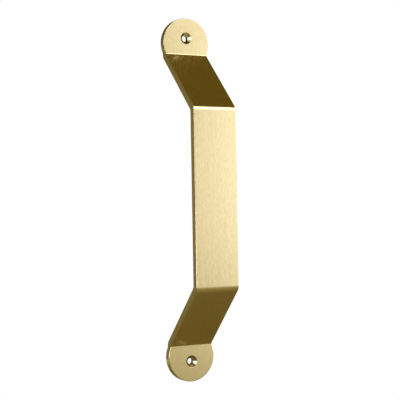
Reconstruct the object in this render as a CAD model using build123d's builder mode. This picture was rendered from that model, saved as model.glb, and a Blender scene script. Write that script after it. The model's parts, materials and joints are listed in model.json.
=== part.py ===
from build123d import *
from math import radians, sqrt, tan
import os

# Sliding door pull. One flat brass strap, blanked with a round tab at each end and bent four times:
# tab, sloping leg, flat grip, sloping leg, tab. All sizes are millimetres.
# +Z runs up the pull and the grip stands out from the door towards -Y. The backs of both tabs lie on
# the door at Y = 0, and the origin is midway between the two screw holes.

# Strap
strap_width = 38.0
strap_thickness = 6.0
edge_radius = 0.6  # the long edges are eased so that they don't cut the fingers

# Overall shape
overall_length = 300.0  # from the tip of one tab to the tip of the other
projection = 53.5  # from the door to the front of the grip

# Bends
bend_angle = 45.0
bend_inner_radius = 1.5  # on the hollow side, the outside adds the strap's thickness

# End tabs
tab_overhang = 1.75  # how far the tab's circle stands out past the strap's side
neck_radius = 1.5  # rounds the corner where the circle meets the strap's side
neck_straight = 0.25  # flat strap left between the bend and the neck's rounding

# Screw holes
hole_from_tip = 16.5
screw_hole_diameter = 5.3
countersink_diameter = 10.0
countersink_angle = 90.0

# The tab from its tip inwards: the disc's centre, then its neck, which ends where the bend starts
half_width = strap_width / 2
tip_z = overall_length / 2
hole_z = tip_z - hole_from_tip
tab_radius = half_width + tab_overhang
tab_centre_z = tip_z - tab_radius
neck_length = sqrt((tab_radius + neck_radius) ** 2 - (half_width + neck_radius) ** 2)
bend_end_z = tab_centre_z - neck_length - neck_straight

# The front surface turns sharply at these heights if the bends' radii are left out
half_turn = tan(radians(bend_angle / 2))
tab_corner_z = bend_end_z - bend_inner_radius * half_turn
grip_corner_z = tab_corner_z - (projection - strap_thickness) / tan(radians(bend_angle))

# The strap's middle surface turns its corners nearer the pull's centre than the front surface does
half_thickness = strap_thickness / 2
middle_shift = half_thickness * half_turn
middle_bend_radius = bend_inner_radius + half_thickness
tab_middle_y = -half_thickness
grip_middle_y = half_thickness - projection
upper_half = [
    (grip_middle_y, grip_corner_z - middle_shift),
    (tab_middle_y, tab_corner_z - middle_shift),
    (tab_middle_y, tip_z),
]
lower_half = [(y, -z) for y, z in reversed(upper_half)]

with BuildPart() as door_pull:
    # Seen from the side, the bent strap is its middle line drawn as thick as the metal, so that the
    # inside and outside arcs of each bend share one centre
    with BuildSketch(Plane.YZ) as bent_section:
        with BuildLine() as middle_line:
            FilletPolyline(*lower_half, *upper_half, radius=middle_bend_radius)
        trace(line_width=strap_thickness)
    extrude(amount=tab_radius, both=True)

    # Seen from the front, the blank is a straight strap with a slightly wider disc at each end
    with BuildSketch(Plane.XZ) as front_outline:
        Rectangle(strap_width, 2 * tab_centre_z)
        with Locations((0, tab_centre_z), (0, -tab_centre_z)):
            Circle(tab_radius)
        neck_corners = front_outline.vertices().filter_by_position(Axis.X, -half_width, half_width)
        fillet(neck_corners, radius=neck_radius)
    extrude(amount=projection, mode=Mode.INTERSECT)

    # Every edge that runs along the strap or round a tab is eased. Lines parallel to X or Y only
    # mark where a flat turns into a bend or a neck, and are smooth already
    smooth_lines = door_pull.edges().filter_by(Axis.X) + door_pull.edges().filter_by(Axis.Y)
    fillet(door_pull.edges() - smooth_lines, radius=edge_radius)

    # One countersunk screw hole through each tab, a little nearer the tip than the disc's centre
    tab_front = Plane((0, -strap_thickness, 0), x_dir=(1, 0, 0), z_dir=(0, -1, 0))
    with Locations(tab_front):
        with Locations((0, hole_z), (0, -hole_z)):
            CounterSinkHole(
                radius=screw_hole_diameter / 2,
                counter_sink_radius=countersink_diameter / 2,
                depth=strap_thickness,
                counter_sink_angle=countersink_angle,
            )

door_pull.part.label = "door_pull"
os.makedirs("parts", exist_ok=True)
export_step(door_pull.part, "parts/door_pull.step")
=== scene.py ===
# %% [markdown]
# # A sliding door pull in brushed brass
#
# The pull is one flat strap of brass. It was cut out with a round tab at each end, drilled and
# countersunk for one screw in each tab, and bent four times, so that the middle stands off the door as
# a grip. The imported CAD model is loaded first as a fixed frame: it says where the pull is and how
# large. This script then models the strap again as a clean mesh, gives it its brushed finish, and sets
# up the studio that the finish is seen in.

# %% Load the frame
import bmesh
import bpy
import json
import math
from mathutils import Matrix, Vector


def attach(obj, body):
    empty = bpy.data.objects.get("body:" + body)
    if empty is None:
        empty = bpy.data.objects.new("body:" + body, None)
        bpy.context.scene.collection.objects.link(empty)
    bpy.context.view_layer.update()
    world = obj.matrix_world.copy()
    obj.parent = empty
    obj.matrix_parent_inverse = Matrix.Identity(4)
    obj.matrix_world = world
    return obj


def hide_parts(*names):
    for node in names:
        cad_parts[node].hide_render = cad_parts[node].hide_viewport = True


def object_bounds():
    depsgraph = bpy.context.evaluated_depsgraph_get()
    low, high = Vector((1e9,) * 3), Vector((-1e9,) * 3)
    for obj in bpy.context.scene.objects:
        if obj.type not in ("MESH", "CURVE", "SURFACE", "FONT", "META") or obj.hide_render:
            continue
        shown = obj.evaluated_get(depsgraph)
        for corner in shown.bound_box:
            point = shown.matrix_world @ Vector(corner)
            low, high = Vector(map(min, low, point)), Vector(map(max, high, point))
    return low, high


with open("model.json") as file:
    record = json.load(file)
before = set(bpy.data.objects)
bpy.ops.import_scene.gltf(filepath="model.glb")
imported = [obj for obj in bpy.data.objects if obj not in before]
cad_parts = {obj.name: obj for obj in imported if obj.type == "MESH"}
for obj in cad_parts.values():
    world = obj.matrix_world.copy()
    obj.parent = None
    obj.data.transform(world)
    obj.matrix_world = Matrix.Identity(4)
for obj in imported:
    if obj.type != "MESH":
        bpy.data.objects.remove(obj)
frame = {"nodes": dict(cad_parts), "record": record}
cad_low, cad_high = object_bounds()
print("CAD nodes:", sorted(frame["nodes"]), "box:", tuple(cad_low), tuple(cad_high))

# %% [markdown]
# ## The sizes of the strap
#
# A maker would set these few sizes and work out the rest. The overall length, the projection and the
# screw holes are read from the frame, so they can't drift away from the CAD model. The strap's
# section, its bends and the shape of the tabs are the maker's own choices and are written here once.

# %% Sizes
MM = 0.001

# The box comes from a mesh, so it is rounded to a tenth of a millimetre
TIP_Z = round(cad_high.z, 4)
PROJECTION = round(-cad_low.y, 4)

STRAP_WIDTH = 38 * MM
STRAP_THICKNESS = 6 * MM
EDGE_RADIUS = 0.6 * MM
BEND_ANGLE = math.radians(45)
BEND_INNER_RADIUS = 1.5 * MM
TAB_OVERHANG = 1.75 * MM
NECK_RADIUS = 1.5 * MM
NECK_STRAIGHT = 0.25 * MM
COUNTERSINK_RADIUS = 5 * MM

screw_mount = next(m for m in frame["record"]["mounts"] if m["name"] == "screw_holes")
HOLE_Z = screw_mount["dims"]["spacing_y_mm"] / 2 * MM
HOLE_RADIUS = screw_mount["dims"]["hole_r_mm"] * MM

HALF_WIDTH = STRAP_WIDTH / 2
HALF_THICKNESS = STRAP_THICKNESS / 2
TAB_RADIUS = HALF_WIDTH + TAB_OVERHANG
TAB_CENTRE_Z = TIP_Z - TAB_RADIUS
print("hole spacing", 2 * HOLE_Z / MM, "mm, tab diameter", 2 * TAB_RADIUS / MM, "mm")

# %% [markdown]
# ## The strap's middle line
#
# Sheet metal keeps its length half way through its thickness, so the strap is drawn there first, as a
# line seen from the side: up the grip, round a bend, down the leg to the door, round a second bend and
# up the tab. Each stretch is a straight run or an arc. Knowing how far along the strap each point lies
# pays twice: the mesh follows the line, and later the brush marks do too.

# %% Middle line
MIDDLE_RADIUS = BEND_INNER_RADIUS + HALF_THICKNESS
NECK_LENGTH = math.sqrt((TAB_RADIUS + NECK_RADIUS) ** 2 - (HALF_WIDTH + NECK_RADIUS) ** 2)
TAB_MIDDLE_Y = -HALF_THICKNESS
GRIP_MIDDLE_Y = HALF_THICKNESS - PROJECTION

# A bend of radius R moves the strap sideways by R (1 - cos) and along by R sin of its angle
bend_along = MIDDLE_RADIUS * math.sin(BEND_ANGLE)
bend_aside = MIDDLE_RADIUS * (1 - math.cos(BEND_ANGLE))
leg_aside = TAB_MIDDLE_Y - GRIP_MIDDLE_Y - 2 * bend_aside
LEG_LENGTH = leg_aside / math.sin(BEND_ANGLE)

tab_bend_end_z = TAB_CENTRE_Z - NECK_LENGTH - NECK_STRAIGHT
tab_bend_start_z = tab_bend_end_z - bend_along
grip_bend_end_z = tab_bend_start_z - LEG_LENGTH * math.cos(BEND_ANGLE)
grip_bend_start_z = grip_bend_end_z - bend_along
print("flat grip", 2 * grip_bend_start_z / MM, "mm, flat leg", LEG_LENGTH / MM, "mm")

# %% [markdown]
# ## The camera
#
# The photograph looks at the pull from its left side and level with its middle, through a fairly long
# lens from about 90 cm away. The camera comes first, so that every later step can be looked at from
# where it matters. It is turned in three steps: towards the pull, a touch upwards, and a touch of roll.

# %% Camera
CAMERA_PLACE = Vector((-0.42063, -0.81913, -0.01309))
CAMERA_YAW = math.radians(27.927)
CAMERA_PITCH = math.radians(0.787)
CAMERA_ROLL = math.radians(-1.006)
SENSOR_WIDTH_MM = 36
FOCAL_LENGTH_MM = 99.74

camera = bpy.data.objects.new("camera", bpy.data.cameras.new("camera"))
bpy.context.collection.objects.link(camera)
camera.data.sensor_width = SENSOR_WIDTH_MM
camera.data.lens = FOCAL_LENGTH_MM
camera.matrix_world = (
    Matrix.Translation(CAMERA_PLACE)
    @ Matrix.Rotation(-CAMERA_YAW, 4, "Z")
    @ Matrix.Rotation(math.pi / 2 + CAMERA_PITCH, 4, "X")
    @ Matrix.Rotation(CAMERA_ROLL, 4, "Z")
)
bpy.context.scene.camera = camera
print("camera", round(CAMERA_PLACE.length, 3), "m from the pull's centre")

# %% [markdown]
# ## Tools for editing
#
# Blender's operators act on whatever is selected, and loading the frame leaves the CAD nodes selected.
# So one helper selects a single object, and another selects the vertices, edges or faces of a mesh by
# where they are, as a hand would click on them. A third adds a modifier and applies it.

# %% Selecting
bpy.context.scene.tool_settings.mesh_select_mode = (True, False, False)


def only(obj):
    """Select one object and nothing else."""
    bpy.ops.object.select_all(action="DESELECT")
    obj.select_set(True)
    bpy.context.view_layer.objects.active = obj


def pick(kind, test):
    """In edit mode, select the vertices, edges or faces whose corners all pass the test."""
    mesh = bmesh.from_edit_mesh(bpy.context.object.data)
    bpy.ops.mesh.select_mode(type=kind)
    bpy.ops.mesh.select_all(action="DESELECT")
    parts = {"VERT": mesh.verts, "EDGE": mesh.edges, "FACE": mesh.faces}[kind]
    for part in parts:
        corners = [part] if kind == "VERT" else part.verts
        part.select_set(all(test(corner.co) for corner in corners))
    mesh.select_flush_mode()
    bmesh.update_edit_mesh(bpy.context.object.data)
    return sum(part.select for part in parts)


def apply_modifier(obj, kind, **settings):
    """Add one modifier to an object and apply it at once."""
    only(obj)
    modifier = obj.modifiers.new(kind.lower(), kind)
    for name, value in settings.items():
        setattr(modifier, name, value)
    bpy.ops.object.modifier_apply(modifier=modifier.name)


# %% [markdown]
# ## The flat tab
#
# The tab is a disc a little wider than the strap, which runs into the strap through a small rounded
# neck. It is drawn as a sheet with no thickness: a filled circle, cut off where the strap meets it. The
# cut edge is pulled down to where the first bend starts, and the two corners that this leaves are
# rounded. The sheet stays one flat face, so nothing can ripple in the finish.

# %% Tab
RIM_VERTICES = 144
NECK_STEPS = 5

bpy.ops.object.select_all(action="DESELECT")
bpy.ops.mesh.primitive_circle_add(
    vertices=RIM_VERTICES,
    radius=TAB_RADIUS,
    fill_type="NGON",
    location=(0, TAB_MIDDLE_Y, TAB_CENTRE_Z),
    rotation=(math.pi / 2, 0, 0),
)
strap = bpy.context.object
strap.name = "brass_strap"
bpy.ops.object.transform_apply(location=True, rotation=True, scale=True)

# The disc's edge crosses the strap's side this far below the disc's centre
crossing_z = TAB_CENTRE_Z - math.sqrt(TAB_RADIUS**2 - HALF_WIDTH**2)
bpy.ops.object.mode_set(mode="EDIT")
bpy.ops.mesh.select_all(action="SELECT")
bpy.ops.mesh.bisect(plane_co=(0, 0, crossing_z), plane_no=(0, 0, 1), clear_inner=True)

# The circle is made of short straight edges, so the cut edge is stretched to the strap's full width
HAIR = 0.01 * MM
pick("EDGE", lambda co: abs(co.z - crossing_z) < HAIR)
cut_half_width = max(vertex.co.x for vertex in bmesh.from_edit_mesh(strap.data).verts if vertex.select)
bpy.ops.transform.resize(value=(HALF_WIDTH / cut_half_width, 1, 1), center_override=(0, 0, 0))
bpy.ops.mesh.extrude_region_move(
    TRANSFORM_OT_translate={"value": (0, 0, tab_bend_end_z - crossing_z)}
)
pick("EDGE", lambda co: abs(co.z - crossing_z) < HAIR)
bpy.ops.mesh.dissolve_edges(use_verts=False)
print("neck corners:", pick("VERT", lambda co: abs(co.z - crossing_z) < HAIR))

# %% Neck
# A rounding of radius r in a corner that turns by an angle reaches r tan(angle / 2) along each side
neck_turn = math.acos(HALF_WIDTH / TAB_RADIUS)
neck_reach = NECK_RADIUS * math.tan(neck_turn / 2)
bpy.ops.mesh.bevel(offset=neck_reach, segments=NECK_STEPS, affect="VERTICES", clamp_overlap=False)
bpy.ops.object.mode_set(mode="OBJECT")
print("tab outline:", len(strap.data.vertices), "vertices,", len(strap.data.polygons), "face")

# %% [markdown]
# ## Bending the strap
#
# The real strap was pressed over a former. Here the sheet's lower edge is swept through the same
# shape: spun round the first bend, pulled down the leg, spun back round the second bend, and pulled to
# the pull's middle. Both halves are alike, so the other half is a mirror image, joined to this one.

# %% Bends
BEND_STEPS = 12

bpy.ops.object.mode_set(mode="EDIT")
pick("EDGE", lambda co: abs(co.z - tab_bend_end_z) < HAIR)
bpy.ops.mesh.spin(
    steps=BEND_STEPS,
    angle=BEND_ANGLE,
    center=(0, TAB_MIDDLE_Y - MIDDLE_RADIUS, tab_bend_end_z),
    axis=(1, 0, 0),
)
bpy.ops.mesh.extrude_region_move(
    TRANSFORM_OT_translate={
        "value": (0, -LEG_LENGTH * math.sin(BEND_ANGLE), -LEG_LENGTH * math.cos(BEND_ANGLE))
    }
)
bpy.ops.mesh.spin(
    steps=BEND_STEPS,
    angle=-BEND_ANGLE,
    center=(0, GRIP_MIDDLE_Y + MIDDLE_RADIUS, grip_bend_start_z),
    axis=(1, 0, 0),
)
bpy.ops.mesh.extrude_region_move(TRANSFORM_OT_translate={"value": (0, 0, -grip_bend_start_z)})
bpy.ops.object.mode_set(mode="OBJECT")
lowest = min(strap.data.vertices, key=lambda vertex: vertex.co.z).co
print("the sheet ends at", tuple(round(c / MM, 3) for c in lowest), "mm")

# %% Other half
apply_modifier(strap, "MIRROR", use_axis=(False, False, True), merge_threshold=HAIR)
bpy.ops.object.mode_set(mode="EDIT")
pick("EDGE", lambda co: abs(co.z) < HAIR)
bpy.ops.mesh.dissolve_edges(use_verts=True)
bpy.ops.mesh.select_all(action="SELECT")
bpy.ops.mesh.remove_doubles(threshold=HAIR)
bpy.ops.mesh.normals_make_consistent(inside=False)
bpy.ops.object.mode_set(mode="OBJECT")
print("sheet:", len(strap.data.polygons), "faces")

# %% [markdown]
# ## Thickness and eased edges
#
# The sheet gets the strap's 6 mm, half to each side, measured square to the surface, so that the inside
# and outside of every bend share a centre. The real strap's edges were then run over with a file or a
# belt, so that they don't cut the fingers. A bevel of the same radius does that, right round.

# %% Thickness
EDGE_STEPS = 4

# Only edges that turn by more than this are eased: the bends turn by a few degrees at each step
SQUARE_EDGE = math.radians(50)

apply_modifier(
    strap,
    "SOLIDIFY",
    thickness=STRAP_THICKNESS,
    offset=0,
    use_even_offset=True,
    use_quality_normals=True,
)
apply_modifier(
    strap,
    "BEVEL",
    width=EDGE_RADIUS,
    segments=EDGE_STEPS,
    limit_method="ANGLE",
    angle_limit=SQUARE_EDGE,
    use_clamp_overlap=False,
)
print("strap:", len(strap.data.vertices), "vertices, box", tuple(strap.dimensions / MM))

# %% [markdown]
# ## Screw holes
#
# Each tab was drilled through and then countersunk with a 90 degree bit. A cutter in the shape of that
# bit is made once, copied to the other hole, and taken away from the strap.

# %% Cutter
HOLE_VERTICES = 96
CONE_DEPTH = COUNTERSINK_RADIUS - HOLE_RADIUS
SPARE = 1 * MM

bpy.ops.object.select_all(action="DESELECT")
bpy.ops.mesh.primitive_circle_add(
    vertices=HOLE_VERTICES,
    radius=HOLE_RADIUS,
    fill_type="NGON",
    location=(0, SPARE, HOLE_Z),
    rotation=(math.pi / 2, 0, 0),
)
cutter = bpy.context.object
cutter.name = "countersink_bit"
bpy.ops.object.transform_apply(location=True, rotation=True, scale=True)
bpy.ops.object.mode_set(mode="EDIT")
bpy.ops.mesh.select_all(action="SELECT")

# The drill goes to the foot of the cone, and the cone goes on past the tab's front
cone_foot_y = -(STRAP_THICKNESS - CONE_DEPTH)
bpy.ops.mesh.extrude_region_move(TRANSFORM_OT_translate={"value": (0, cone_foot_y - SPARE, 0)})
bpy.ops.mesh.extrude_region_move(TRANSFORM_OT_translate={"value": (0, -CONE_DEPTH - SPARE, 0)})
bpy.ops.transform.resize(
    value=((COUNTERSINK_RADIUS + SPARE) / HOLE_RADIUS,) * 3,
    center_override=(0, -STRAP_THICKNESS - SPARE, HOLE_Z),
)
bpy.ops.mesh.select_all(action="SELECT")
bpy.ops.mesh.duplicate_move(TRANSFORM_OT_translate={"value": (0, 0, -2 * HOLE_Z)})
bpy.ops.mesh.select_all(action="SELECT")
bpy.ops.mesh.normals_make_consistent(inside=False)
bpy.ops.object.mode_set(mode="OBJECT")
print("cutter", tuple(round(size / MM, 2) for size in cutter.dimensions), "mm")

# %% Drilling
apply_modifier(strap, "BOOLEAN", operation="DIFFERENCE", solver="EXACT", object=cutter)
bpy.data.objects.remove(cutter)
print("drilled:", len(strap.data.vertices), "vertices")

# %% [markdown]
# The strap was brushed after it was drilled, and the belt took the sharpness off the lip of each
# countersink. A bevel far finer than the one along the strap's edges rounds the circle where cone and
# flat meet. It is too small to see as a shape, but it catches the light as a thin bright ring.

# %% Lip
LIP = 0.12 * MM
LIP_STEPS = 3


def on_lip(co):
    """Tell whether a point lies on the circle where a countersink meets the tab's front."""
    reach = math.hypot(co.x, abs(co.z) - HOLE_Z)
    return abs(reach - COUNTERSINK_RADIUS) < HAIR and abs(co.y + STRAP_THICKNESS) < HAIR


only(strap)
bpy.ops.object.mode_set(mode="EDIT")
print("lip edges:", pick("EDGE", on_lip))
bpy.ops.mesh.bevel(offset=LIP, segments=LIP_STEPS, affect="EDGES", clamp_overlap=False)
bpy.ops.object.mode_set(mode="OBJECT")

# %% [markdown]
# ## Smooth shading
#
# Roundings are shaded smooth, and the edges that a drill leaves, at the cone's foot and at the back, stay
# crisp. Weighted normals then let each large flat decide how light falls along its border, so that the
# flats look dead flat, as ground strip does, and the bends and eased edges run into them without a
# crease.

# %% Shading
CREASE = math.radians(30)

only(strap)
bpy.ops.object.shade_smooth_by_angle(angle=CREASE)
apply_modifier(strap, "WEIGHTED_NORMAL", mode="FACE_AREA", keep_sharp=True)
print("shaded", strap.name)

# %% [markdown]
# ## Which way the brushing runs
#
# The strap was brushed lengthwise while it was still flat, so its marks run round the bends with the
# metal. To draw them, each point of the bent strap is traced back to where it lay on the flat blank.

# %% Back to the flat blank
BEND_LENGTH = MIDDLE_RADIUS * BEND_ANGLE
LEG_START = grip_bend_start_z + BEND_LENGTH
TAB_BEND_START = LEG_START + LEG_LENGTH
TAB_START = TAB_BEND_START + BEND_LENGTH
grip_bend_centre = Vector((0, GRIP_MIDDLE_Y + MIDDLE_RADIUS, grip_bend_start_z))
tab_bend_centre = Vector((0, TAB_MIDDLE_Y - MIDDLE_RADIUS, tab_bend_end_z))
leg_front = Vector((0, -math.cos(BEND_ANGLE), math.sin(BEND_ANGLE)))
leg_up = Vector((0, math.sin(BEND_ANGLE), math.cos(BEND_ANGLE)))
leg_foot = grip_bend_centre + MIDDLE_RADIUS * leg_front


def on_blank(place):
    """Give how far a point lies along and through the flat blank, and how the strap leans there."""
    half = math.copysign(1, place.z)
    point = Vector((0, place.y, abs(place.z)))
    from_grip_bend = point - grip_bend_centre
    from_tab_bend = point - tab_bend_centre
    grip_turn = math.atan2(from_grip_bend.z, -from_grip_bend.y)
    tab_turn = math.atan2(-from_tab_bend.z, from_tab_bend.y)
    if grip_turn <= 0:
        along, through, lean = point.z, GRIP_MIDDLE_Y - point.y, 0
    elif grip_turn < BEND_ANGLE:
        along = grip_bend_start_z + MIDDLE_RADIUS * grip_turn
        through, lean = from_grip_bend.length - MIDDLE_RADIUS, grip_turn
    elif tab_turn <= 0:
        along, through, lean = TAB_START + from_tab_bend.z, TAB_MIDDLE_Y - point.y, 0
    elif tab_turn < BEND_ANGLE:
        along = TAB_START - MIDDLE_RADIUS * tab_turn
        through, lean = MIDDLE_RADIUS - from_tab_bend.length, tab_turn
    else:
        up_leg = point - leg_foot
        along, through, lean = LEG_START + up_leg.dot(leg_up), up_leg.dot(leg_front), BEND_ANGLE
    return half * along, through, half * lean


print("the blank is", round(2 * (TAB_START + TIP_Z - tab_bend_end_z) / MM, 1), "mm long before bending")

# %% [markdown]
# A UV map holds the result: U runs across the brush marks and V along them. On the strap's two faces
# the marks run lengthwise. Round the edge they follow the outline, as a belt leaves them, and in the
# screw holes they run in rings, as a bit leaves them.

# %% Brushing map
BRUSHING_UNIT = 100 * MM

# How far a face looks to the front, from 0 to 1: the tab's flat is at 1 and the cone's wall at 0.71
FLAT_ON = 0.9

# Half way round an eased edge the front ends and the edge starts
HALF_WAY_ROUND = math.sqrt(0.5)

# On the map the back lies beside the front, with the strap's right edge between them
BACK_MIDDLE = 3 * HALF_WIDTH + STRAP_THICKNESS


def facing_front(face):
    """Give 1 for a face on the strap's front, 0 on its edge and -1 on its back, wherever it leans."""
    lean = on_blank(face.center)[2]
    return face.normal.dot(Vector((0, -math.cos(lean), math.sin(lean))))


def kind_of(face):
    """Say whether a face is part of a screw hole, of the strap's edge, or of its front or back."""
    corners = [strap.data.vertices[i].co for i in face.vertices]
    reach = max(math.hypot(co.x, abs(co.z) - HOLE_Z) for co in corners)
    if reach < COUNTERSINK_RADIUS + HAIR and abs(face.normal.y) < FLAT_ON:
        return "hole"
    facing = facing_front(face)
    if abs(facing) < HALF_WAY_ROUND:
        return "edge"
    return "front" if facing > 0 else "back"


def brushing(kind, place, side):
    """Give a point's distance across and along the brush marks, for the kind of face it is on."""
    along, through, lean = on_blank(place)
    if kind == "front":
        return place.x, along
    if kind == "back":
        return BACK_MIDDLE - place.x, along
    if kind == "edge":
        past_centre = abs(place.z) - TAB_CENTRE_Z
        if abs(place.z) > crossing_z:
            turn = math.atan2(past_centre, abs(place.x))
            along = TAB_START + TAB_CENTRE_Z - tab_bend_end_z + TAB_RADIUS * turn
            along = math.copysign(along, place.z)
        return side * (HALF_WIDTH + HALF_THICKNESS - through), along
    from_axis = (place.x * side, abs(place.z) - HOLE_Z)
    return math.hypot(*from_axis) - place.y, COUNTERSINK_RADIUS * math.atan2(*from_axis)


brushing_map = strap.data.uv_layers.new(name="brushing")
counts = {}
for face in strap.data.polygons:
    kind = kind_of(face)
    counts[kind] = counts.get(kind, 0) + 1
    side = math.copysign(1, face.center.x)
    for corner in face.loop_indices:
        place = strap.data.vertices[strap.data.loops[corner].vertex_index].co
        across, along = brushing(kind, place, side)
        brushing_map.uv[corner].vector = (across / BRUSHING_UNIT, along / BRUSHING_UNIT)
print("faces by kind:", counts)

# %% [markdown]
# The eased edges were rounded over last, with a finer belt, which leaves them smoother. A number on
# each point tells the finish where they are: 1 on the rounding, running out to 0 on the flats. The
# finish also paints them a brighter tint there, a painted highlight along each rounding.

# %% Rounding map
# A rounding's faces look neither quite to the side nor quite to the front
SIDE_FACING = 0.1
FLAT_FACING = 0.99

flat_points = set()
for face in strap.data.polygons:
    if not SIDE_FACING < abs(facing_front(face)) < FLAT_FACING:
        flat_points.update(face.vertices)
rounding_map = strap.data.attributes.new("rounding", "FLOAT", "POINT")
for vertex in strap.data.vertices:
    rounding_map.data[vertex.index].value = 0 if vertex.index in flat_points else 1
print("points on roundings:", len(strap.data.vertices) - len(flat_points))

# %% [markdown]
# ## Helpers for materials
#
# Colours are written as they look on a screen, as hex codes, and Blender's nodes work in linear light,
# so one function turns the one into the other. Another adds a node with its settings and its links.

# %% Colour and nodes
def colour(code):
    """Turn an sRGB hex code into the linear colour that nodes use."""
    channels = [int(code[i : i + 2], 16) / 255 for i in (1, 3, 5)]

    # The sRGB standard's own curve, which is a straight line near black
    linear = [c / 12.92 if c <= 0.04045 else ((c + 0.055) / 1.055) ** 2.4 for c in channels]
    return (*linear, 1)


def node(tree, kind, inputs=None, **settings):
    """Add a node, give it its settings, and fill its sockets with values or with links."""
    made = tree.nodes.new(kind)
    for name, value in settings.items():
        setattr(made, name, value)
    for name, value in (inputs or {}).items():
        if isinstance(value, bpy.types.NodeSocket):
            tree.links.new(value, made.inputs[name])
        else:
            made.inputs[name].default_value = value
    return made


def empty_tree(owner):
    """Switch a material or world to nodes and clear the ones it starts with."""
    owner.use_nodes = True
    owner.node_tree.nodes.clear()
    return owner.node_tree


# %% [markdown]
# ## Satin brushed brass
#
# The strap is a pale yellow brass. It was brushed with an abrasive belt along its length, which leaves
# fine parallel scratches. To the eye that does two things: a light is smeared out sideways, across the
# marks, but stays quite sharp along them, and faint streaks run lengthwise. The first is anisotropy,
# turned by the brushing map, and the second is noise that is stretched out along the same map.

# %% Brushed noise
brass = bpy.data.materials.new("satin_brushed_brass")
tree = empty_tree(brass)
marks = node(tree, "ShaderNodeUVMap", uv_map="brushing")


def brushed_noise(tree, marks, width, length, detail):
    """Add noise in dashes of a width and length, along the marks of the brushing map."""
    place = node(
        tree,
        "ShaderNodeMapping",
        {
            "Vector": marks.outputs["UV"],
            "Scale": (BRUSHING_UNIT / width, BRUSHING_UNIT / length, 1),
        },
    )
    noise = node(
        tree,
        "ShaderNodeTexNoise",
        {"Vector": place.outputs["Vector"], "Scale": 1, "Detail": detail},
        noise_dimensions="2D",
    )
    return noise.outputs["Fac"]


# The belt's coarse grains leave short dashes, and the joint in the belt leaves long streaks
dashes = brushed_noise(tree, marks, width=0.8 * MM, length=4 * MM, detail=3)
streaks = brushed_noise(tree, marks, width=0.9 * MM, length=40 * MM, detail=2)

# The finest scratches are 0.05 mm apart, too fine to show, and are drawn 0.4 mm apart
scratches = brushed_noise(tree, marks, width=0.4 * MM, length=10 * MM, detail=2)
print("three noises run along the marks of", brass.name)

# %% [markdown]
# Where the belt bit deeper the brass looks a shade darker and browner, so dashes and streaks together
# choose between two close tints. The rounded edges take a third, brighter tint, a painted highlight
# along each rounding. The rounding map says where.

# %% Tint
STREAK_SHARE = 0.4
SCRATCHED_TINT = "#D9C58E"
SMOOTH_TINT = "#FCE9B4"
# The rounded edges are painted paler than the flats: a painted highlight along each rounding
EDGE_HIGHLIGHT_TINT = "#FBEBB9"

grain = node(
    tree,
    "ShaderNodeMix",
    {0: STREAK_SHARE, 2: dashes, 3: streaks},
    data_type="FLOAT",
)

# A Mix node has sockets of every kind: for colours, A is number 6, B number 7 and the result number 2
tint = node(
    tree,
    "ShaderNodeMix",
    {0: grain.outputs[0], 6: colour(SCRATCHED_TINT), 7: colour(SMOOTH_TINT)},
    data_type="RGBA",
)
rounding = node(tree, "ShaderNodeAttribute", attribute_name="rounding").outputs["Fac"]
# Painted highlight: the roundings take the paler edge tint
edge_highlight_tint = node(
    tree,
    "ShaderNodeMix",
    {0: rounding, 6: tint.outputs[2], 7: colour(EDGE_HIGHLIGHT_TINT)},
    data_type="RGBA",
)
print("tints from", SCRATCHED_TINT, "to", SMOOTH_TINT, "and", EDGE_HIGHLIGHT_TINT, "on the edges")

# %% [markdown]
# The gloss is uneven too: it differs a little from scratch to scratch, and the rubbed edges are
# smoother. A bump makes the scratches feel like grooves where a light grazes them. All of it stays
# faint, because a satin finish looks even from arm's length.

# %% Gloss
SATIN_ROUGHNESS = (0.2, 0.24)
RUBBED_SHARE = 0.85
SCRATCH_DEPTH = 0.05 * MM
SCRATCH_STRENGTH = 0.1

satin = node(
    tree,
    "ShaderNodeMapRange",
    {"Value": scratches, "To Min": SATIN_ROUGHNESS[0], "To Max": SATIN_ROUGHNESS[1]},
)
rub = node(tree, "ShaderNodeMapRange", {"Value": rounding, "To Min": 1, "To Max": RUBBED_SHARE})
gloss = node(
    tree,
    "ShaderNodeMath",
    {0: satin.outputs["Result"], 1: rub.outputs["Result"]},
    operation="MULTIPLY",
)
grooves = node(
    tree,
    "ShaderNodeBump",
    {"Height": scratches, "Strength": SCRATCH_STRENGTH, "Distance": SCRATCH_DEPTH},
)
print("roughness", SATIN_ROUGHNESS, "and", RUBBED_SHARE, "of that on the edges")

# %% [markdown]
# The metal itself is one shader. Its tangent comes from the brushing map, so the highlights are smeared
# across the marks on the flats, round the bends and along the rim alike.

# %% Brass
BELT_SMEAR = 0.65

across = node(tree, "ShaderNodeTangent", direction_type="UV_MAP", uv_map="brushing")
metal = node(
    tree,
    "ShaderNodeBsdfPrincipled",
    {
        "Base Color": edge_highlight_tint.outputs[2],
        "Metallic": 1,
        "Roughness": gloss.outputs["Value"],
        "Anisotropic": BELT_SMEAR,
        "Normal": grooves.outputs["Normal"],
        "Tangent": across.outputs["Tangent"],
    },
)
node(tree, "ShaderNodeOutputMaterial", {"Surface": metal.outputs["BSDF"]})
strap.data.materials.append(brass)
print("material", brass.name, "with", len(tree.nodes), "nodes")

# %% [markdown]
# ## Drilled brass with painted shade
#
# The belt doesn't reach into the screw holes, so there the brass is as the bit left it: less yellow
# than the brushed strap, with a sharper gloss, and with fine rings round the cone. Its colour is also
# painted darker, a painted shade for the shade that falls inside each hole. The brushing map runs in
# rings there, so a light is smeared from the cone's foot to its rim, as on anything turned.

# %% Holes
# Both ring tints are painted darker than the strap's brass: painted shade inside each hole, on top of the
# less yellow cut finish
CUT_AND_SHADE_TINT = "#B4A882"
BRIGHT_CUT_AND_SHADE_TINT = "#C9BF9A"
CUT_ROUGHNESS = 0.16
BIT_SMEAR = 0.8

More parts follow.
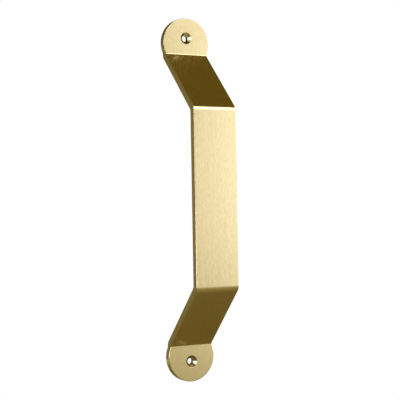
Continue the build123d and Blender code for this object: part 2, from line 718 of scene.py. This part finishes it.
drilled_and_shaded = bpy.data.materials.new("drilled_brass_with_painted_shade")
tree = empty_tree(drilled_and_shaded)
marks = node(tree, "ShaderNodeUVMap", uv_map="brushing")
rings = brushed_noise(tree, marks, width=0.25 * MM, length=8 * MM, detail=2)
# The ring tints carry the painted shade of the holes
cut_and_shade_tint = node(
    tree,
    "ShaderNodeMix",
    {0: rings, 6: colour(CUT_AND_SHADE_TINT), 7: colour(BRIGHT_CUT_AND_SHADE_TINT)},
    data_type="RGBA",
)
across = node(tree, "ShaderNodeTangent", direction_type="UV_MAP", uv_map="brushing")
metal = node(
    tree,
    "ShaderNodeBsdfPrincipled",
    {
        "Base Color": cut_and_shade_tint.outputs[2],
        "Metallic": 1,
        "Roughness": CUT_ROUGHNESS,
        "Anisotropic": BIT_SMEAR,
        "Tangent": across.outputs["Tangent"],
    },
)
node(tree, "ShaderNodeOutputMaterial", {"Surface": metal.outputs["BSDF"]})
strap.data.materials.append(drilled_and_shaded)
hole_faces = [face for face in strap.data.polygons if kind_of(face) == "hole"]
for face in hole_faces:
    face.material_index = 1
print(drilled_and_shaded.name, "on", len(hole_faces), "faces")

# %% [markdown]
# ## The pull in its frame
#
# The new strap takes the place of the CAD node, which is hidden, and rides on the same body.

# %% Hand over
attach(strap, "root")
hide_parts("door_pull")

# %% [markdown]
# ## The room
#
# Metal has no look of its own: it shows what stands round it. The photograph was taken in a white room,
# so the world is plain white.

# %% White room
world = bpy.data.worlds.new("white_room")
bpy.context.scene.world = world
tree = empty_tree(world)
room = node(tree, "ShaderNodeBackground", {"Color": colour("#FFFFFF"), "Strength": 1})
node(tree, "ShaderNodeOutputWorld", {"Surface": room.outputs["Background"]})

# The standard view shows a colour as it is written
bpy.context.scene.view_settings.view_transform = "Standard"
print("world", world.name)

# %% [markdown]
# ## Card paper
#
# In a white room alone a metal strap looks like paper. So photographers stand cards just out of view,
# dark ones to give the bends and edges their depth and a graded one to model the flats. Each card is
# coloured by one blend, from dark warm brown through a middle tone to white, and it only has to say how
# bright each spot on it is. The cards glow, so that a card's brightness doesn't hang on the lamps.

# %% Card paper
PAPER_STRENGTH = 2.13

# Each tone is a brightness, where the white room is 1, and the colour that the paper has there
DARK_PAPER = (0.087, "#433912")
GREY_PAPER = (0.563, "#908D81")
BROWN_PAPER = (0.563, "#908B70")
WHITE_PAPER = (1.8, "#E7ECFF")


def card_paper(name, brightness, middle_tone=GREY_PAPER):
    """Make glowing card paper. brightness(tree, place) adds the nodes that say how bright a spot is."""
    paper = bpy.data.materials.new(name)
    tree = empty_tree(paper)
    place = node(tree, "ShaderNodeTexCoord").outputs["Object"]
    blend_place = node(
        tree,
        "ShaderNodeMapRange",
        {"Value": brightness(tree, place), "From Min": 0, "From Max": WHITE_PAPER[0]},
    )
    blend = node(tree, "ShaderNodeValToRGB", {"Fac": blend_place.outputs["Result"]})

    # A ramp starts with two stops. A third is added anywhere, and then all three are placed
    stops = blend.color_ramp.elements
    stops.new(0.5)
    for stop, (level, code) in zip(stops, (DARK_PAPER, middle_tone, WHITE_PAPER)):
        stop.position = level / WHITE_PAPER[0]
        stop.color = colour(code)
    glow = node(
        tree,
        "ShaderNodeEmission",
        {"Color": blend.outputs["Color"], "Strength": PAPER_STRENGTH},
    )
    node(tree, "ShaderNodeOutputMaterial", {"Surface": glow.outputs["Emission"]})
    return paper


def bell(tree, place, centre, spread, height, level):
    """Rise softly from a level by a height, round a centre, as a bell curve of that spread does."""
    away = node(tree, "ShaderNodeVectorMath", {0: place, 1: centre}, operation="DISTANCE")
    square = node(tree, "ShaderNodeMath", {0: away.outputs["Value"], 1: 2}, operation="POWER")
    fall = node(
        tree,
        "ShaderNodeMath",
        {0: square.outputs["Value"], 1: -1 / (2 * spread**2)},
        operation="MULTIPLY",
    )
    curve = node(tree, "ShaderNodeMath", {0: fall.outputs["Value"]}, operation="EXPONENT")
    return node(
        tree,
        "ShaderNodeMath",
        {0: curve.outputs["Value"], 1: height, 2: level},
        operation="MULTIPLY_ADD",
    ).outputs["Value"]


def for_metal_only(card, paper):
    """Give a card its paper, and hide it from the camera and from every light but a mirrored one."""
    card.data.materials.append(paper)
    card.visible_camera = False
    card.visible_diffuse = False
    card.visible_transmission = False
    card.visible_shadow = False


# %% [markdown]
# ## Dark cards
#
# The sloping legs mirror what is overhead and underfoot, and the strap's left edge what is behind. So a
# dark card hangs above, a brown table lies below, and a dark card stands behind and to the left. The
# card above has one soft spot at its left, which the lower right of each countersink mirrors. The
# table grows paler towards the front, for the lower bend, and towards the back, for anyone who looks
# from behind. The card behind has a bright spot for the same reason. Two narrow cards, one beside the
# camera and one square to the left, darken the rounding of every left edge.

# %% Overhead card
DARK = DARK_PAPER[0]
OVERHEAD = 1.2
OVERHEAD_SIZE = 7.0
OVERHEAD_FRONT = -0.96
OVERHEAD_MIDDLE = OVERHEAD_FRONT + OVERHEAD_SIZE / 2

# A spot's place is measured from the middle of its own card
OVERHEAD_SPOT = Vector((-1.0, -0.65 - OVERHEAD_MIDDLE, 0))


def overhead_brightness(tree, place):
    """One soft spot on dark paper."""
    return bell(tree, place, OVERHEAD_SPOT, spread=0.35, height=0.9, level=DARK)


bpy.ops.object.select_all(action="DESELECT")
bpy.ops.mesh.primitive_plane_add(
    size=OVERHEAD_SIZE,
    location=(0, OVERHEAD_MIDDLE, grip_bend_end_z + OVERHEAD),
)
overhead_card = bpy.context.object
overhead_card.name = "overhead_card"
for_metal_only(overhead_card, card_paper("overhead_paper", overhead_brightness, BROWN_PAPER))
print(overhead_card.name, "hangs", OVERHEAD, "m above the grip")

# %% Table card
DISC_VERTICES = 96
FLOOR_Z = -0.30
TABLE_ABOVE_FLOOR = 10 * MM
TABLE_RADIUS = 2.0
TABLE_MIDDLE = 0.12
TABLE_FRONT_PER_METRE = 0.44
TABLE_BACK_PER_METRE = 0.9
TABLE_BACK_START = -0.1
FORWARD = Vector((0, -1, 0))


def table_brightness(tree, place):
    """Grow paler in proportion to the distance towards the front and, further off, towards the back."""
    forward = node(tree, "ShaderNodeVectorMath", {0: place, 1: FORWARD}, operation="DOT_PRODUCT")
    front = node(
        tree,
        "ShaderNodeMath",
        {0: forward.outputs["Value"], 1: TABLE_FRONT_PER_METRE, 2: TABLE_MIDDLE},
        operation="MULTIPLY_ADD",
    )
    back = node(
        tree,
        "ShaderNodeMath",
        {0: forward.outputs["Value"], 1: -TABLE_BACK_PER_METRE, 2: TABLE_BACK_START},
        operation="MULTIPLY_ADD",
    )
    return node(
        tree,
        "ShaderNodeMath",
        {0: front.outputs["Value"], 1: back.outputs["Value"]},
        operation="MAXIMUM",
    ).outputs["Value"]


bpy.ops.object.select_all(action="DESELECT")
bpy.ops.mesh.primitive_circle_add(
    vertices=DISC_VERTICES,
    radius=TABLE_RADIUS,
    fill_type="NGON",
    location=(0, 0, FLOOR_Z + TABLE_ABOVE_FLOOR),
)
table_card = bpy.context.object
table_card.name = "table_card"
for_metal_only(table_card, card_paper("table_paper", table_brightness, BROWN_PAPER))
print(table_card.name, "is", TABLE_RADIUS, "m in radius")


# %% Standing cards
def standing_card(name, away, side, left, right, bottom, top):
    """Stand an upright card at a distance from the grip, facing it, at an angle from its front."""
    bpy.ops.object.select_all(action="DESELECT")
    bpy.ops.mesh.primitive_plane_add(
        size=1,
        location=(away * math.sin(side), -PROJECTION - away * math.cos(side), 0),
        rotation=(math.pi / 2, 0, side),
    )
    card = bpy.context.object
    card.name = name
    for vertex in card.data.vertices:
        vertex.co.x = right if vertex.co.x > 0 else left
        vertex.co.y = top if vertex.co.y > 0 else bottom
    return card


SIDE_SPOT = Vector((0, 0.05, 0))
BACK_SPOT = Vector((-0.60, -0.05, 0))


def back_brightness(tree, place):
    """Two soft spots on dark paper: a faint one for the strap's side and a bright one for its back."""
    faint = bell(tree, place, SIDE_SPOT, spread=0.2, height=0.1, level=DARK)
    return bell(tree, place, BACK_SPOT, spread=0.2, height=1.0, level=faint)


back_card = standing_card(
    "back_card",
    away=0.9,
    side=math.pi + CAMERA_YAW,
    left=-1.2,
    right=1.2,
    bottom=-1.2,
    top=1.2,
)
for_metal_only(back_card, card_paper("back_paper", back_brightness))

near_card = standing_card(
    "near_card",
    away=1.0,
    side=math.radians(-26),
    left=-0.32,
    right=0.32,
    bottom=-0.05,
    top=0.8,
)
for_metal_only(near_card, card_paper("near_paper", lambda tree, place: DARK))

left_card = standing_card(
    "left_card",
    away=1.0,
    side=math.radians(-90),
    left=-0.35,
    right=0.35,
    bottom=-0.05,
    top=0.8,
)
for_metal_only(left_card, card_paper("left_paper", lambda tree, place: DARK))
print("standing cards:", back_card.name, near_card.name, left_card.name)

# %% [markdown]
# ## Graded card
#
# The grip and tabs face the camera nearly square, so they mirror what stands to the front right. Over a
# width of 38 mm they grow clearly brighter to the right, and they are brightest above the middle. Only
# something close by can do that: a card with one soft bright spot, up and to the right of the middle. A
# second spot, near its left end and a little below the middle, lights the flats when they are looked
# at straight from the front.

# %% Graded card
RIGHT_SPOT = Vector((0.43, 0.11, 0))
LEFT_SPOT = Vector((-0.40, -0.08, 0))
GRADED_LEVEL = 0.29


def graded_brightness(tree, place):
    """Two soft spots on grey-brown paper."""
    left = bell(tree, place, LEFT_SPOT, spread=0.14, height=0.8, level=GRADED_LEVEL)
    return bell(tree, place, RIGHT_SPOT, spread=0.21, height=5.9, level=left)


graded_card = standing_card(
    "graded_card",
    away=0.80,
    side=CAMERA_YAW,
    left=-0.60,
    right=0.36,
    bottom=-0.29,
    top=0.31,
)
for_metal_only(graded_card, card_paper("graded_paper", graded_brightness))
print(graded_card.name, "is lit at", tuple(RIGHT_SPOT), "and", tuple(LEFT_SPOT))

# %% [markdown]
# ## Two lamps
#
# A large soft lamp stands to the front right, above the graded card and below the overhead one. It
# draws the bright line along the upper bend and lays a soft shadow on the floor. A second one, tall and
# narrow, stands to the front left. The cone of each countersink mirrors it as a bright wedge, and its
# height is what gives the wedge its width. It also touches the left edges.

# %% Lamps
def soft_lamp(name, away, side, height, size, brightness):
    """Stand a square-on soft lamp round the pull, side and height being angles from its front."""
    direction = Vector(
        (
            math.cos(height) * math.sin(side),
            -math.cos(height) * math.cos(side),
            math.sin(height),
        )
    )
    bpy.ops.object.light_add(
        type="AREA",
        location=Vector((0, -PROJECTION, 0)) + away * direction,
        rotation=(-direction).to_track_quat("-Z", "Y").to_euler(),
    )
    lamp = bpy.context.object
    lamp.name = name
    lamp.data.shape = "RECTANGLE"
    lamp.data.size, lamp.data.size_y = size
    lamp.visible_camera = False

    # A lamp of area A that glows evenly at brightness B gives off pi A B watts
    lamp.data.energy = math.pi * size[0] * size[1] * brightness
    print(name, round(lamp.data.energy, 2), "W")


soft_lamp(
    "key_lamp",
    away=1.6,
    side=math.radians(36),
    height=math.radians(33),
    size=(1.1, 0.74),
    brightness=1.6,
)
soft_lamp(
    "edge_lamp",
    away=1.3,
    side=math.radians(-64.5),
    height=math.radians(-2),
    size=(0.25, 1.9),
    brightness=3.8,
)

# %% [markdown]
# ## The floor
#
# The floor is plain and pale, and it runs out into the white room with no edge. From below it is clear,
# like glass, so that the pull's underside can be looked at too.

# %% Floor
FLOOR_SOLID = 0.30
FLOOR_END = 0.70

bpy.ops.object.select_all(action="DESELECT")
bpy.ops.mesh.primitive_circle_add(
    vertices=DISC_VERTICES, radius=FLOOR_END, fill_type="NGON", location=(0, 0, FLOOR_Z)
)
floor = bpy.context.object
floor.name = "pale_floor"
matt = bpy.data.materials.new("pale_matt_paint")
tree = empty_tree(matt)
place = node(tree, "ShaderNodeTexCoord").outputs["Object"]
away = node(tree, "ShaderNodeVectorMath", {0: place}, operation="LENGTH")
run_out = node(
    tree,
    "ShaderNodeMapRange",
    {"Value": away.outputs["Value"], "From Min": FLOOR_SOLID, "From Max": FLOOR_END},
    interpolation_type="SMOOTHSTEP",
)
underside = node(tree, "ShaderNodeNewGeometry").outputs["Backfacing"]
clear = node(
    tree,
    "ShaderNodeMath",
    {0: run_out.outputs["Result"], 1: underside},
    operation="MAXIMUM",
)
paint = node(tree, "ShaderNodeBsdfDiffuse", {"Color": colour("#EEEEEE")})
nothing = node(tree, "ShaderNodeBsdfTransparent")
cover = node(
    tree,
    "ShaderNodeMixShader",
    {0: clear.outputs["Value"], 1: paint.outputs["BSDF"], 2: nothing.outputs["BSDF"]},
)
node(tree, "ShaderNodeOutputMaterial", {"Surface": cover.outputs["Shader"]})
floor.data.materials.append(matt)
print(floor.name, "is", FLOOR_END, "m in radius")
